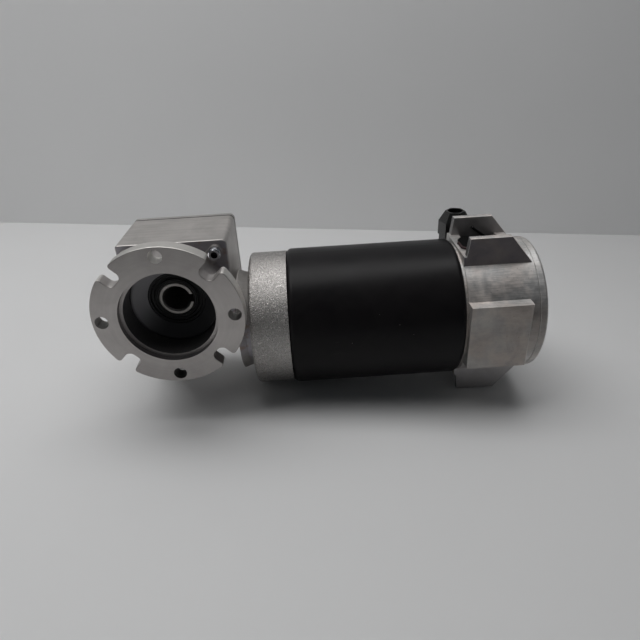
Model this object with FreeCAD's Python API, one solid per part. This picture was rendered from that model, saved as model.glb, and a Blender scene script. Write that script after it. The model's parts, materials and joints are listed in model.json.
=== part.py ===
"""Right-angle worm gearmotor: brushed DC motor, worm gearbox, hollow output shaft, output flange.

Millimetres. The origin is the centre of the output flange's front face, on the output axis.
+X runs along the motor axis to the motor's rear end, +Y from the flange into the gearbox, +Z up.
"""
import FreeCAD
import Part
import os
from math import cos, hypot, pi, radians, sin, sqrt, tan

Vec = FreeCAD.Vector
X_AXIS = Vec(1, 0, 0)
Y_AXIS = Vec(0, 1, 0)
Z_AXIS = Vec(0, 0, 1)

# ---- driving dimensions: output flange ----------------------------------------------------------
FLANGE_R = 50.0
FLANGE_T = 10.0
FLANGE_PCD_R = 43.5
FLANGE_HOLE_R = 4.5
PILOT_R = 32.5
PILOT_DEPTH = 4.5
FLANGE_BORE_R = 30.3
FLANGE_HUB_R = 36.0
SLOT_HALF = 5.5
SLOT_IN_R = 38.7
SLOT_INNER_ROUND = 4.0
SLOT_MOUTH_ROUND = 2.2
RIM_ROUND = 0.6
EAR_R = 4.6
EAR_T = 4.4

# ---- driving dimensions: gearbox box ------------------------------------------------------------
BOX_LEFT = -37.4
BOX_RIGHT = 38.7
BOX_FRONT = 37.4
BOX_BACK = 94.4
BOX_HALF_Z = 38.0
BOX_LEFT_ROUND = 2.0
BOX_RIGHT_ROUND = 4.0
BOX_EDGE_ROUND = 1.0
JOINT_BEVEL = 0.3
COVER_T = 5.0
GASKET_T = 0.5
BOSS_R = 30.25
BOSS_FRONT = 22.4
BOSS_ROUND = 0.8
WHEEL_ROOM_R = 33.5

# ---- driving dimensions: gear set (axial module 2, one start, 30 teeth) -------------------------
MODULE = 2.0
WHEEL_TEETH = 30
CENTRE_DISTANCE = 40.0
PRESSURE_ANGLE = radians(20)
BACKLASH = 0.34
WHEEL_WIDTH = 14.0
WORM_HALF_LENGTH = 19.0

# ---- driving dimensions: output shaft line ------------------------------------------------------
SHAFT_R = 12.5
SHAFT_BORE_R = 9.0
SHAFT_FRONT = 28.2
SHAFT_BACK = 95.4
KEYWAY_W = 6.0
KEYWAY_TOP = 11.8
SEAL_W = 7.0
SEAL_R = 20.0
SEAL_FRONT = 29.0
LIP_GAP = 0.05

# ---- driving dimensions: motor ------------------------------------------------------------------
MOTOR_Y = (BOX_FRONT + BOX_BACK) / 2
MOTOR_Z = -CENTRE_DISTANCE
NECK_R = 37.0
NECK_ROOT_R = 39.0
NECK_END = 49.0
BELL_R = 51.5
BELL_END = 76.8
BELL_ROUND = 2.4
TUBE_R = 52.9
TUBE_BORE_R = 47.9
TUBE_END = 203.6
REAR_R = 51.3
REAR_START = 205.0
REAR_END = 256.0
CAP_END = 261.9
CAP_SEAM = 0.4
ARMATURE_R = 36.0
ARMATURE_START = 95.0
ARMATURE_END = 180.0
COMMUTATOR_R = 19.0
COMMUTATOR_START = 213.0
COMMUTATOR_END = 234.5

# ---- driving dimensions: rear end bell ----------------------------------------------------------
LUG_OUT = 25.2
LUG_T = 5.35
LUG_HEIGHT = 65.4
PAD_HEIGHT = 51.5
PAD_END = 248.4
PAD_FOOT = 254.4
SIDE_PAD_OUT = 53.4
SIDE_PAD_HALF = 25.3
SIDE_PAD_BEVEL = 0.6
BELL_WALL_X = 236.0
POCKET_X = (213.0, 240.5)
POCKET_HALF_Y = 14.0
RECESS_FLOOR = 46.5
RECESS_HALF_Y = 19.8
BRUSH_X = 225.0
BRUSH_SIZE = (12.0, 8.0, 18.0)
GLAND_X = 214.4
GLAND_Y = 105.5
BOSS_TOP_Z = -3.0

# ---- fits ---------------------------------------------------------------------------------------
SCREW_GAP = 0.05
BALL_GAP = 0.04
CAGE_GAP = 0.15

# ---- screws: shank radius, clearance radius, head radius, head height, socket across flats ------
M5 = {"r": 2.5, "clear": 2.75, "head_r": 4.25, "head_h": 5.0, "socket": 4.0}
LOW_HEAD_M5 = {"r": 2.5, "clear": 2.75, "head_r": 4.25, "head_h": 4.5, "socket": 4.0}
M6 = {"r": 3.0, "clear": 3.3, "head_r": 5.0, "head_h": 6.0, "socket": 5.0}
M4 = {"r": 2.0, "clear": 2.2, "head_r": 3.0, "head_h": 2.4, "socket": 2.5}
SCREW_LENGTH = 14.0
FAR = 60.0

PARTS = {}


# ---- small helpers ------------------------------------------------------------------------------
def box(x0, x1, y0, y1, z0, z1):
    return Part.makeBox(x1 - x0, y1 - y0, z1 - z0, Vec(x0, y0, z0))


def cyl_x(r, x0, x1, y=MOTOR_Y, z=MOTOR_Z):
    return Part.makeCylinder(r, x1 - x0, Vec(x0, y, z), X_AXIS)


def cyl_y(r, y0, y1, x=0.0, z=0.0):
    return Part.makeCylinder(r, y1 - y0, Vec(x, y0, z), Y_AXIS)


def cyl_z(r, z0, z1, x, y):
    return Part.makeCylinder(r, z1 - z0, Vec(x, y, z0), Z_AXIS)


def tube_x(r_out, r_in, x0, x1):
    return cyl_x(r_out, x0, x1).cut(cyl_x(r_in, x0 - 1, x1 + 1))


def fuse(*shapes):
    return shapes[0].multiFuse(list(shapes[1:])).removeSplitter()


def cut(shape, *tools):
    return shape.cut(list(tools)).removeSplitter()


def closed_wire(points):
    return Part.makePolygon([Vec(*p) for p in points] + [Vec(*points[0])])


def polygon(points):
    return Part.Face(closed_wire(points))


def save(node, shape):
    PARTS[node] = shape


def motor_point(radius, angle, x):
    """A point at a radius and an angle (from +Y towards +Z) about the motor axis."""
    return Vec(x, MOTOR_Y + radius * cos(angle), MOTOR_Z + radius * sin(angle))


def arc_edges(shape, radius, axis_index, place):
    """Circular edges of one radius that lie at one place along an axis."""
    found = []
    for edge in shape.Edges:
        curve = edge.Curve
        if isinstance(curve, Part.Circle) and abs(curve.Radius - radius) < 1e-3:
            if abs(curve.Center[axis_index] - place) < 1e-3:
                found.append(edge)
    return found


def hexagon_points(across_flats, z, x, y, turn=0):
    r = across_flats / 2 / cos(radians(30))
    angles = [radians(turn + 60 * k) for k in range(6)]
    return [(x + r * cos(a), y + r * sin(a), z) for a in angles]


def hexagon(across_flats, z0, z1, x, y, turn=0):
    return polygon(hexagon_points(across_flats, z0, x, y, turn)).extrude(Vec(0, 0, z1 - z0))


def socket_screw(size, length):
    """A socket-head screw along +Z: the shank hangs below Z=0, the head stands above it."""
    thread_r, head_r, head_h = size["r"], size["head_r"], size["head_h"]
    shank = Part.makeCylinder(thread_r, length, Vec(0, 0, -length))
    shank = shank.makeChamfer(thread_r / 4, arc_edges(shank, thread_r, 2, -length))
    head = Part.makeCylinder(head_r, head_h)
    head = head.makeChamfer(head_r * 0.15, arc_edges(head, head_r, 2, head_h))
    socket = hexagon(size["socket"], head_h * 0.45, head_h + 1, 0, 0)
    return cut(fuse(shank, head), socket)


def place(shape, position, direction):
    """Turn a shape's +Z onto a direction and move its origin to a position."""
    turned = shape.copy()
    turned.Placement = FreeCAD.Placement(position, FreeCAD.Rotation(Z_AXIS, direction))
    return turned


def ball_bearing(name, axis, centre, r_in, r_out, width, ball_r, balls):
    """One deep-groove bearing as three nodes: outer ring, inner ring, and balls with their cage."""
    mid = (r_in + r_out) / 2
    start = centre - axis * (width / 2)
    land = ball_r * 0.55

    def ring(r1, r0):
        outer = Part.makeCylinder(r1, width, start, axis)
        return outer.cut(Part.makeCylinder(r0, width + 2, start - axis, axis))

    groove = Part.makeTorus(mid, ball_r + BALL_GAP, centre, axis)
    save(name + "_outer", ring(r_out, mid + land).cut(groove))
    save(name + "_inner", ring(mid - land, r_in).cut(groove))
    side = Vec(0, 0, 1).cross(axis)
    if side.Length < 0.5:
        side = Vec(1, 0, 0)
    up = axis.cross(side)
    thin = land * 0.45
    cage = Part.makeCylinder(mid + thin, ball_r * 2.4, centre - axis * (ball_r * 1.2), axis)
    cage = cage.cut(Part.makeCylinder(mid - thin, width * 2, centre - axis * width, axis))
    spheres = []
    for k in range(balls):
        turn = 2 * pi * k / balls
        spot = centre + side * (mid * cos(turn)) + up * (mid * sin(turn))
        spheres.append(Part.makeSphere(ball_r, spot))
        cage = cage.cut(Part.makeCylinder(ball_r + CAGE_GAP, mid, centre, spot - centre))
    save(name + "_balls", Part.makeCompound([cage] + spheres))


def face_edges(shape, y):
    return [e for e in shape.Edges if abs(e.BoundBox.YMin - y) < 1e-3 and abs(e.BoundBox.YMax - y) < 1e-3]


# ---- output flange and its screws ---------------------------------------------------------------
def corner_spots():
    reach = FLANGE_PCD_R * cos(radians(45))
    return [(sx * reach, sz * reach) for sx in (-1, 1) for sz in (-1, 1)]


def along_y(edge):
    return abs(edge.tangentAt(edge.FirstParameter).y) > 0.99


def slotted_plate():
    """The round flange plate with four open slots whose mouths are rounded."""
    plate = cyl_y(FLANGE_R, 0, FLANGE_T)
    for x, z in corner_spots():
        slot = box(SLOT_IN_R, FLANGE_R + 5, -1, FLANGE_T + 1, -SLOT_HALF, SLOT_HALF)
        inner = [e for e in slot.Edges if along_y(e) and e.BoundBox.XMax < SLOT_IN_R + 0.1]
        slot = slot.makeFillet(SLOT_INNER_ROUND, inner)
        slot.Placement = FreeCAD.Placement(Vec(0, 0, 0), FreeCAD.Rotation(X_AXIS, Vec(x, 0, z)))
        plate = plate.cut(slot)
    mouths = []
    for edge in plate.Edges:
        at = edge.Vertexes[0].Point
        on_rim = hypot(at.x, at.z) > FLANGE_R - 0.1
        beside_slot = abs(abs(at.x) - abs(at.z)) > 1
        if along_y(edge) and on_rim and beside_slot:
            mouths.append(edge)
    plate = plate.makeFillet(SLOT_MOUTH_ROUND, mouths)
    rims = [e for y in (0, FLANGE_T) for e in face_edges(plate, y)]
    return plate.makeFillet(RIM_ROUND, rims)


def output_flange():
    plate = slotted_plate()
    hub = cyl_y(FLANGE_HUB_R, FLANGE_T - 1, BOX_FRONT)
    ears = []
    tools = [cyl_y(PILOT_R, -1, PILOT_DEPTH), cyl_y(FLANGE_BORE_R, 0, BOX_FRONT + 1)]
    for x, z in corner_spots():
        ears.append(cyl_y(EAR_R, BOX_FRONT - EAR_T, BOX_FRONT, x, z))
        web = box(0, FLANGE_PCD_R, BOX_FRONT - EAR_T, BOX_FRONT, -EAR_R, EAR_R)
        angle = FreeCAD.Rotation(X_AXIS, Vec(x, 0, z))
        web.Placement = FreeCAD.Placement(Vec(0, 0, 0), angle).multiply(web.Placement)
        ears.append(web)
        tools.append(cyl_y(M5["clear"], FLANGE_T + 1, BOX_FRONT + 1, x, z))
    for x, z in ((1, 0), (0, 1), (-1, 0), (0, -1)):
        tools.append(cyl_y(FLANGE_HOLE_R, -1, FLANGE_T + 1, x * FLANGE_PCD_R, z * FLANGE_PCD_R))
    save("output_flange", cut(fuse(plate, hub, *ears), *tools))

    screw = socket_screw(M5, SCREW_LENGTH)
    seat = BOX_FRONT - EAR_T
    screws = [place(screw, Vec(x, seat, z), Vec(0, -1, 0)) for x, z in corner_spots()]
    save("flange_screws", Part.makeCompound(screws))


# ---- gearbox housing, its cover and seals -------------------------------------------------------
BEARING_W = 9.0
FRONT_BEARING_Y = (38.4, 47.4)
REAR_BEARING_Y = (77.0, 86.0)
COVER_FACE = BOX_BACK - COVER_T
GASKET_FACE = COVER_FACE - GASKET_T
WORM_BEARING_W = 8.0
WORM_BEARING_R = 14.0
WORM_BEARING_X = 30.2
WORM_SEAT_X = 26.2
WORM_ROOM_R = 13.4
TUNNEL_R = 19.0
TUNNEL_ROUND = 1.5
MOUTH_R = 28.4
MOUTH_DEPTH = 6.1
BEARING_R = 21.0
SHOULDER_R = 17.5
SLEEVE_ROOM_R = 20.0
NECK_CONE = 5.5
INPUT_SEAL_X = (35.2, 42.2)
NECK_SCREW_R = 30.0
NECK_TAP_X = 40.5
NECK_SCREW_ANGLES = [radians(a) for a in (45, 135, 225, 315)]
COVER_SCREW_REACH = 31.0
COVER_BOSS_R = 27.0
END_CAP_Y = (87.4, 97.4)
END_CAP_ROOM = (17.0, 95.9)
END_CAP_ROUND = 1.5
WORM_JOURNAL_R = 6.0


def rounded_box(y0, y1):
    body = box(BOX_LEFT, BOX_RIGHT, y0, y1, -BOX_HALF_Z, BOX_HALF_Z)
    left = [e for e in body.Edges if along_y(e) and e.BoundBox.XMax < 0]
    body = body.makeFillet(BOX_LEFT_ROUND, left)
    right = [e for e in body.Edges if along_y(e) and e.BoundBox.XMin > BOX_RIGHT - 0.1]
    return body.makeFillet(BOX_RIGHT_ROUND, right)


def cover_spots():
    mid_x = (BOX_LEFT + BOX_RIGHT) / 2
    return [(mid_x + sx * COVER_SCREW_REACH, sz * COVER_SCREW_REACH) for sx in (-1, 1) for sz in (-1, 1)]


def gearbox_housing():
    body = rounded_box(BOX_FRONT, GASKET_FACE)
    body = body.makeFillet(BOX_EDGE_ROUND, face_edges(body, BOX_FRONT))
    body = body.makeChamfer(JOINT_BEVEL, face_edges(body, GASKET_FACE))
    tunnel = cyl_x(TUNNEL_R, BOX_LEFT, BOX_RIGHT + 1)
    tunnel = tunnel.makeFillet(TUNNEL_ROUND, arc_edges(tunnel, TUNNEL_R, 0, BOX_LEFT))
    neck_root = Part.makeCone(NECK_ROOT_R, NECK_R, NECK_CONE, Vec(BOX_RIGHT, MOTOR_Y, MOTOR_Z), X_AXIS)
    neck = cyl_x(NECK_R, BOX_RIGHT + NECK_CONE - 0.5, NECK_END)
    boss = cyl_y(BOSS_R, BOSS_FRONT, BOX_FRONT + 1)
    boss = boss.makeFillet(BOSS_ROUND, arc_edges(boss, BOSS_R, 1, BOSS_FRONT))
    shell = fuse(body, tunnel, neck_root, neck, boss)
    mouth = Part.makeCone(MOUTH_R, SEAL_R, MOUTH_DEPTH, Vec(0, BOSS_FRONT, 0), Y_AXIS)
    tools = [
        mouth,
        cyl_y(SEAL_R, BOSS_FRONT + MOUTH_DEPTH - 0.1, SEAL_FRONT + SEAL_W),
        cyl_y(SHOULDER_R, SEAL_FRONT + SEAL_W - 1, FRONT_BEARING_Y[0] + 0.6),
        cyl_y(BEARING_R, FRONT_BEARING_Y[0], FRONT_BEARING_Y[1] + 0.2),
        cyl_y(WHEEL_ROOM_R, FRONT_BEARING_Y[1] + 0.1, GASKET_FACE + 1),
        cyl_x(WORM_ROOM_R, -WORM_SEAT_X, WORM_SEAT_X),
        cyl_x(WORM_BEARING_R, BOX_LEFT - 1, -WORM_SEAT_X),
        cyl_x(WORM_BEARING_R, WORM_SEAT_X, INPUT_SEAL_X[1]),
        cyl_x(SLEEVE_ROOM_R, INPUT_SEAL_X[1], NECK_END + 1),
    ]
    tapped = M5["r"] + SCREW_GAP
    for x, z in corner_spots():
        tools.append(cyl_y(tapped, BOX_FRONT - 1, BOX_FRONT - EAR_T + SCREW_LENGTH + 1.5, x, z))
    for x, z in cover_spots():
        tools.append(cyl_y(tapped, BOX_BACK - SCREW_LENGTH - 4.4, GASKET_FACE + 1, x, z))
    for angle in NECK_SCREW_ANGLES:
        spot = motor_point(NECK_SCREW_R, angle, 0)
        tools.append(cyl_x(M6["r"] + SCREW_GAP, NECK_TAP_X, NECK_END + 1, spot.y, spot.z))
    save("gearbox_housing", cut(shell, *tools))


def rear_cover():
    plate = rounded_box(COVER_FACE, BOX_BACK)
    plate = plate.makeFillet(BOX_EDGE_ROUND, face_edges(plate, BOX_BACK))
    plate = plate.makeChamfer(JOINT_BEVEL, face_edges(plate, COVER_FACE))
    boss = cyl_y(COVER_BOSS_R, REAR_BEARING_Y[0], COVER_FACE + 1)
    gasket = rounded_box(GASKET_FACE, COVER_FACE)
    tools = [
        cyl_y(BEARING_R, REAR_BEARING_Y[0] - 1, REAR_BEARING_Y[1]),
        cyl_y(SHOULDER_R, REAR_BEARING_Y[1] - 1, BOX_BACK),
        cyl_y(SEAL_R, END_CAP_Y[0], BOX_BACK + 1),
    ]
    holes = [cyl_y(M5["clear"], GASKET_FACE - 1, BOX_BACK + 1, x, z) for x, z in cover_spots()]
    save("rear_cover", cut(fuse(plate, boss), *tools, *holes))
    save("rear_cover_gasket", cut(gasket, cyl_y(WHEEL_ROOM_R, GASKET_FACE - 1, BOX_BACK), *holes))
    screw = socket_screw(M5, SCREW_LENGTH)
    spots = [place(screw, Vec(x, BOX_BACK, z), Y_AXIS) for x, z in cover_spots()]
    save("rear_cover_screws", Part.makeCompound(spots))


def lip_seal(axis, base, r_out, r_in, width):
    """A rubber seal ring with a dished face and a lip that stands clear of the shaft."""
    body = Part.makeCylinder(r_out, width, base, axis)
    body = body.cut(Part.makeCylinder(r_in + LIP_GAP, width + 2, base - axis, axis))
    deep = (r_out - r_in) * 0.28
    inner = Part.makeCylinder(r_out - deep, 1.1, base - axis * 0.1, axis)
    inner = inner.cut(Part.makeCylinder(r_in + deep, 1.1, base - axis * 0.1, axis))
    return body.cut(inner)


def seals():
    front = Vec(0, SEAL_FRONT, 0)
    save("output_seal_front", lip_seal(Y_AXIS, front, SEAL_R, SHAFT_R, SEAL_W))
    closing = cyl_y(SEAL_R, *END_CAP_Y)
    closing = closing.makeFillet(END_CAP_ROUND, arc_edges(closing, SEAL_R, 1, END_CAP_Y[1]))
    save("output_end_cap", closing.cut(cyl_y(END_CAP_ROOM[0], END_CAP_Y[0] - 1, END_CAP_ROOM[1])))
    inlet = Vec(INPUT_SEAL_X[1], MOTOR_Y, MOTOR_Z)
    save("input_seal", lip_seal(Vec(-1, 0, 0), inlet, WORM_BEARING_R, WORM_JOURNAL_R, SEAL_W))


# ---- output shaft and worm wheel ----------------------------------------------------------------
HUB_R = 25.0
HUB_W = 12.0
COLLAR_R = 15.5
SHAFT_BEVEL = 0.8


def hollow_shaft():
    shaft = cyl_y(SHAFT_R, SHAFT_FRONT, SHAFT_BACK)
    ends = arc_edges(shaft, SHAFT_R, 1, SHAFT_FRONT) + arc_edges(shaft, SHAFT_R, 1, SHAFT_BACK)
    shaft = shaft.makeChamfer(SHAFT_BEVEL, ends)
    collar = cyl_y(COLLAR_R, FRONT_BEARING_Y[1], REAR_BEARING_Y[0])
    hub = cyl_y(HUB_R, MOTOR_Y - HUB_W / 2, MOTOR_Y + HUB_W / 2)
    keyway = box(0, KEYWAY_TOP, SHAFT_FRONT - 1, SHAFT_BACK + 1, -KEYWAY_W / 2, KEYWAY_W / 2)
    bore = cyl_y(SHAFT_BORE_R, SHAFT_FRONT - 1, SHAFT_BACK + 1)
    lead_in = Part.makeCone(SHAFT_BORE_R + 1, SHAFT_BORE_R, 1, Vec(0, SHAFT_FRONT, 0), Y_AXIS)
    lead_out = Part.makeCone(SHAFT_BORE_R, SHAFT_BORE_R + 1, 1, Vec(0, SHAFT_BACK - 1, 0), Y_AXIS)
    save("hollow_output_shaft", cut(fuse(shaft, collar, hub), bore, keyway, lead_in, lead_out))


def involute_half_angle(radius, pitch_r, tooth_angle):
    """Half the angle that a tooth fills at a radius."""
    base_r = pitch_r * cos(PRESSURE_ANGLE)

    def inv(r):
        ratio = min(1.0, base_r / r)
        slope = sqrt(1 - ratio * ratio) / ratio
        return slope - Vec(ratio, 0, 0).getAngle(Vec(ratio, slope * ratio, 0))

    return tooth_angle / 2 + inv(pitch_r) - inv(radius)


def wheel_section(y, twist):
    """The wheel's outline at one place along its axis, with a tooth gap at the bottom."""
    pitch_r = MODULE * WHEEL_TEETH / 2
    tooth = (pi * MODULE / 2 - BACKLASH / 2) / pitch_r
    radii = [pitch_r - 2.35, pitch_r - 1.5, pitch_r - 0.6, pitch_r + 0.4, pitch_r + 1.3, pitch_r + 2.0]
    points = []
    for k in range(WHEEL_TEETH):
        middle = 2 * pi * (k + 0.5) / WHEEL_TEETH + twist
        flank = [(r, middle - involute_half_angle(r, pitch_r, tooth)) for r in radii]
        back = [(r, middle + involute_half_angle(r, pitch_r, tooth)) for r in reversed(radii)]
        for r, angle in flank + back:
            points.append(Vec(-r * sin(angle), y, -r * cos(angle)))
    return Part.makePolygon(points + [points[0]])


def worm_wheel():
    half = WHEEL_WIDTH / 2
    wheel_r = MODULE * WHEEL_TEETH / 2
    worm_r = CENTRE_DISTANCE - wheel_r
    lead_turn = half * MODULE / (2 * worm_r) / wheel_r
    low = wheel_section(MOTOR_Y - half, -lead_turn)
    high = wheel_section(MOTOR_Y + half, lead_turn)
    teeth = Part.makeLoft([low, high], True, True)
    save("worm_wheel_rim", teeth.cut(cyl_y(HUB_R, 0, 120)))


# ---- worm shaft and coupling --------------------------------------------------------------------
WORM_CORE_R = 7.6
WORM_COLLAR_R = 8.0
WORM_END_X = 52.0
SLEEVE_R = 11.0
SLEEVE_X = (44.6, 60.6)
WORM_CAP_IN = -34.6
WORM_CAP_DISH_R = 9.0
WORM_CAP_DISH = 0.6


def worm_thread():
    """One helical thread of trapezium section about the motor axis, a crest at the top at X=0."""
    pitch = pi * MODULE
    pitch_r = CENTRE_DISTANCE - MODULE * WHEEL_TEETH / 2
    tip_r = pitch_r + MODULE
    root_r = pitch_r - 1.2 * MODULE - 0.3
    turns = 8
    start = -turns / 2 * pitch
    half = pi * MODULE / 4 - BACKLASH / 4

    def wide(r):
        return half + (pitch_r - r) * tan(PRESSURE_ANGLE)

    helix = Part.makeHelix(pitch, turns * pitch, pitch_r)
    root, tip = wide(root_r), wide(tip_r)
    corners = [(root_r, -root), (tip_r, -tip), (tip_r, tip), (root_r, root)]
    profile = Part.makePolygon([Vec(r, 0, w) for r, w in corners + corners[:1]])
    thread = Part.Wire(helix.Edges).makePipeShell([profile], True, True)
    thread = Part.Solid(thread) if thread.ShapeType == "Shell" else thread
    # The helix climbs +Z from +X; turn +Z onto +X and +X onto +Z, so the crest at X=0 is on top.
    turn = FreeCAD.Rotation(Z_AXIS, X_AXIS)
    turn = FreeCAD.Rotation(X_AXIS, 180).multiply(turn)
    thread.Placement = FreeCAD.Placement(Vec(start, MOTOR_Y, MOTOR_Z), turn)
    return thread.common(cyl_x(tip_r + 1, -WORM_HALF_LENGTH, WORM_HALF_LENGTH))


def worm_shaft():
    core = cyl_x(WORM_CORE_R, -WORM_HALF_LENGTH - 1, WORM_HALF_LENGTH + 1)
    journal = cyl_x(WORM_JOURNAL_R, -WORM_SEAT_X - WORM_BEARING_W, WORM_END_X)
    left = cyl_x(WORM_COLLAR_R, -WORM_SEAT_X, -WORM_HALF_LENGTH)
    right = cyl_x(WORM_COLLAR_R, WORM_HALF_LENGTH, WORM_SEAT_X)
    save("worm_shaft", fuse(core, journal, left, right, worm_thread()))
    x0, x1 = SLEEVE_X
    sleeve = tube_x(SLEEVE_R, WORM_JOURNAL_R, x0, x1)
    ends = arc_edges(sleeve, SLEEVE_R, 0, x0) + arc_edges(sleeve, SLEEVE_R, 0, x1)
    save("coupling_sleeve", sleeve.makeChamfer(SHAFT_BEVEL, ends))
    cap = cyl_x(WORM_BEARING_R, BOX_LEFT, WORM_CAP_IN)
    dish = cyl_x(WORM_CAP_DISH_R, BOX_LEFT - 1, BOX_LEFT + WORM_CAP_DISH)
    save("worm_end_cap", cut(cap, dish))


# ---- motor front bell, tube and magnets ---------------------------------------------------------
BOLT_R = 40.5
CAP_ROOM_R = 45.0
BOLT_ANGLES = [radians(62), radians(242)]
FRONT_BEARING_X = (62.0, 73.0)
REAR_BEARING_X = (238.2, 249.2)
MOTOR_BEARING_R = 17.5
SPIGOT = 5.0
BELL_ROOM_R = 44.0
BELL_FLOOR_X = 56.0
BELL_HUB_R = 22.0
BELL_HOLE_R = 12.0
BOLT_BOSS_R = 5.0
BOLT_TAP_X = 66.0
TUBE_ROUND = 4.0
MAGNET_GAP = 0.8
MAGNET_SPREAD = radians(52)
CAP_SCREW_R = 47.0
CAP_SCREW_ANGLES = [radians(a) for a in (45, 135, 225, 315)]


def motor_front_bell():
    body = cyl_x(BELL_R, NECK_END, BELL_END)
    body = body.makeFillet(BELL_ROUND, arc_edges(body, BELL_R, 0, NECK_END))
    body = fuse(body, cyl_x(TUBE_BORE_R - SCREW_GAP, BELL_END - 1, BELL_END + SPIGOT))
    open_end = BELL_END + SPIGOT
    body = cut(body, cyl_x(BELL_ROOM_R, BELL_FLOOR_X, open_end + 1))
    extras = [cyl_x(BELL_HUB_R, BELL_FLOOR_X - 1, FRONT_BEARING_X[1])]
    tools = [cyl_x(BELL_HOLE_R, NECK_END - 1, BELL_END),
             cyl_x(MOTOR_BEARING_R, FRONT_BEARING_X[0], BELL_END)]
    for angle in BOLT_ANGLES:
        spot = motor_point(BOLT_R, angle, 0)
        lump = cyl_x(BOLT_BOSS_R, BELL_FLOOR_X - 1, open_end, spot.y, spot.z)
        extras.append(lump.common(cyl_x(BELL_ROOM_R + 1, NECK_END, open_end)))
        tools.append(cyl_x(M5["r"] + SCREW_GAP, BOLT_TAP_X, open_end + 1, spot.y, spot.z))
    for angle in NECK_SCREW_ANGLES:
        spot = motor_point(NECK_SCREW_R, angle, 0)
        tools.append(cyl_x(M6["clear"], NECK_END - 1, BELL_FLOOR_X + 1, spot.y, spot.z))
    save("motor_front_bell", cut(fuse(body, *extras), *tools))
    screw = socket_screw(M6, SCREW_LENGTH)
    screws = [place(screw, motor_point(NECK_SCREW_R, a, BELL_FLOOR_X), X_AXIS) for a in NECK_SCREW_ANGLES]
    save("bell_screws", Part.makeCompound(screws))


def motor_tube():
    tube = tube_x(TUBE_R, TUBE_BORE_R, BELL_END, TUBE_END)
    ends = arc_edges(tube, TUBE_R, 0, BELL_END) + arc_edges(tube, TUBE_R, 0, TUBE_END)
    tube = tube.makeFillet(TUBE_ROUND, ends)
    save("motor_tube", tube)


def field_magnets():
    """Two curved magnets bonded inside the tube, left and right of the armature."""
    start, end = ARMATURE_START - 3, ARMATURE_END + 3
    ring = tube_x(TUBE_BORE_R, ARMATURE_R + MAGNET_GAP, start, end)
    centre = motor_point(0, 0, start)
    magnets = []
    for side in (0, pi):
        fan = [motor_point(FAR * 1.7, side + turn, start) for turn in (-MAGNET_SPREAD, 0, MAGNET_SPREAD)]
        wedge = Part.Face(Part.makePolygon([centre] + fan + [centre]))
        magnets.append(ring.common(wedge.extrude(Vec(end - start, 0, 0))))
    save("field_magnets", Part.makeCompound(magnets))


# ---- rotor --------------------------------------------------------------------------------------
SLOTS = 12
ROTOR_R = 9.0
ROTOR_END_R = 6.0
ROTOR_SEAT_R = 7.5
ROTOR_START = 52.5
SLOT_DEPTH = (20.0, 33.5)
SLOT_BAR_HALF = 3.6
SLOT_GAP_HALF = 1.3
COIL_IN_R = 14.0
COIL_ROUND = 2.5
RISER_R = 22.0
RISER_START = 209.5
SLIT_IN_R = 16.5
SLIT_HALF = 0.3


def about_motor(piece, angle):
    """Turn a piece built about the X axis and move it onto the motor axis."""
    piece.rotate(Vec(0, 0, 0), X_AXIS, angle)
    piece.translate(Vec(0, MOTOR_Y, MOTOR_Z))
    return piece


def motor_shaft():
    front, rear = FRONT_BEARING_X, REAR_BEARING_X
    stages = [
        cyl_x(ROTOR_END_R, ROTOR_START, front[0]),
        cyl_x(ROTOR_SEAT_R, front[0] - 0.5, front[1] + 1),
        cyl_x(ROTOR_R, front[1], rear[0]),
        cyl_x(ROTOR_SEAT_R, rear[0] - 0.2, rear[1]),
        cyl_x(ROTOR_END_R, rear[1] - 0.2, rear[1] + 1.8),
    ]
    save("motor_shaft", fuse(*stages))


def armature():
    core = tube_x(ARMATURE_R, ROTOR_R, ARMATURE_START, ARMATURE_END)
    x0, x1 = ARMATURE_START - 6, ARMATURE_END + 6
    bars = []
    gaps = []
    for k in range(SLOTS):
        angle = 360.0 * k / SLOTS
        bars.append(about_motor(box(x0, x1, *SLOT_DEPTH, -SLOT_BAR_HALF, SLOT_BAR_HALF), angle))
        gap = box(x0, x1, SLOT_DEPTH[1] - 0.5, ARMATURE_R + 4, -SLOT_GAP_HALF, SLOT_GAP_HALF)
        gaps.append(about_motor(gap, angle))
    save("armature_core", cut(core, *bars, *gaps))
    coil_r = SLOT_DEPTH[1]
    ends = []
    for x0, x1 in ((ARMATURE_START - 10, ARMATURE_START - 1), (ARMATURE_END + 1, ARMATURE_END + 10)):
        ring = tube_x(coil_r, COIL_IN_R, x0, x1)
        ring = ring.makeFillet(COIL_ROUND, arc_edges(ring, coil_r, 0, x0) + arc_edges(ring, coil_r, 0, x1))
        ends.append(ring)
    save("armature_windings", fuse(*bars, *ends))


def commutator():
    drum = cyl_x(COMMUTATOR_R, COMMUTATOR_START, COMMUTATOR_END)
    drum = fuse(drum, cyl_x(RISER_R, RISER_START, COMMUTATOR_START))
    drum = drum.cut(cyl_x(ROTOR_R, RISER_START - 1, COMMUTATOR_END + 1))
    slits = []
    for k in range(2 * SLOTS):
        slit = box(RISER_START - 1, COMMUTATOR_END + 1, SLIT_IN_R, RISER_R + 3, -SLIT_HALF, SLIT_HALF)
        slits.append(about_motor(slit, 360.0 * (k + 0.5) / (2 * SLOTS)))
    save("commutator", drum.cut(slits))


# ---- rear end bell and cap ----------------------------------------------------------------------
LUG_FOOT = 42.0
LUG_ROOT = 43.6
LUG_ROOT_X = (205.5, 255.7)
LUG_TOP_X = (208.2, 238.0)
LUG_ROUND = 0.7


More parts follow.
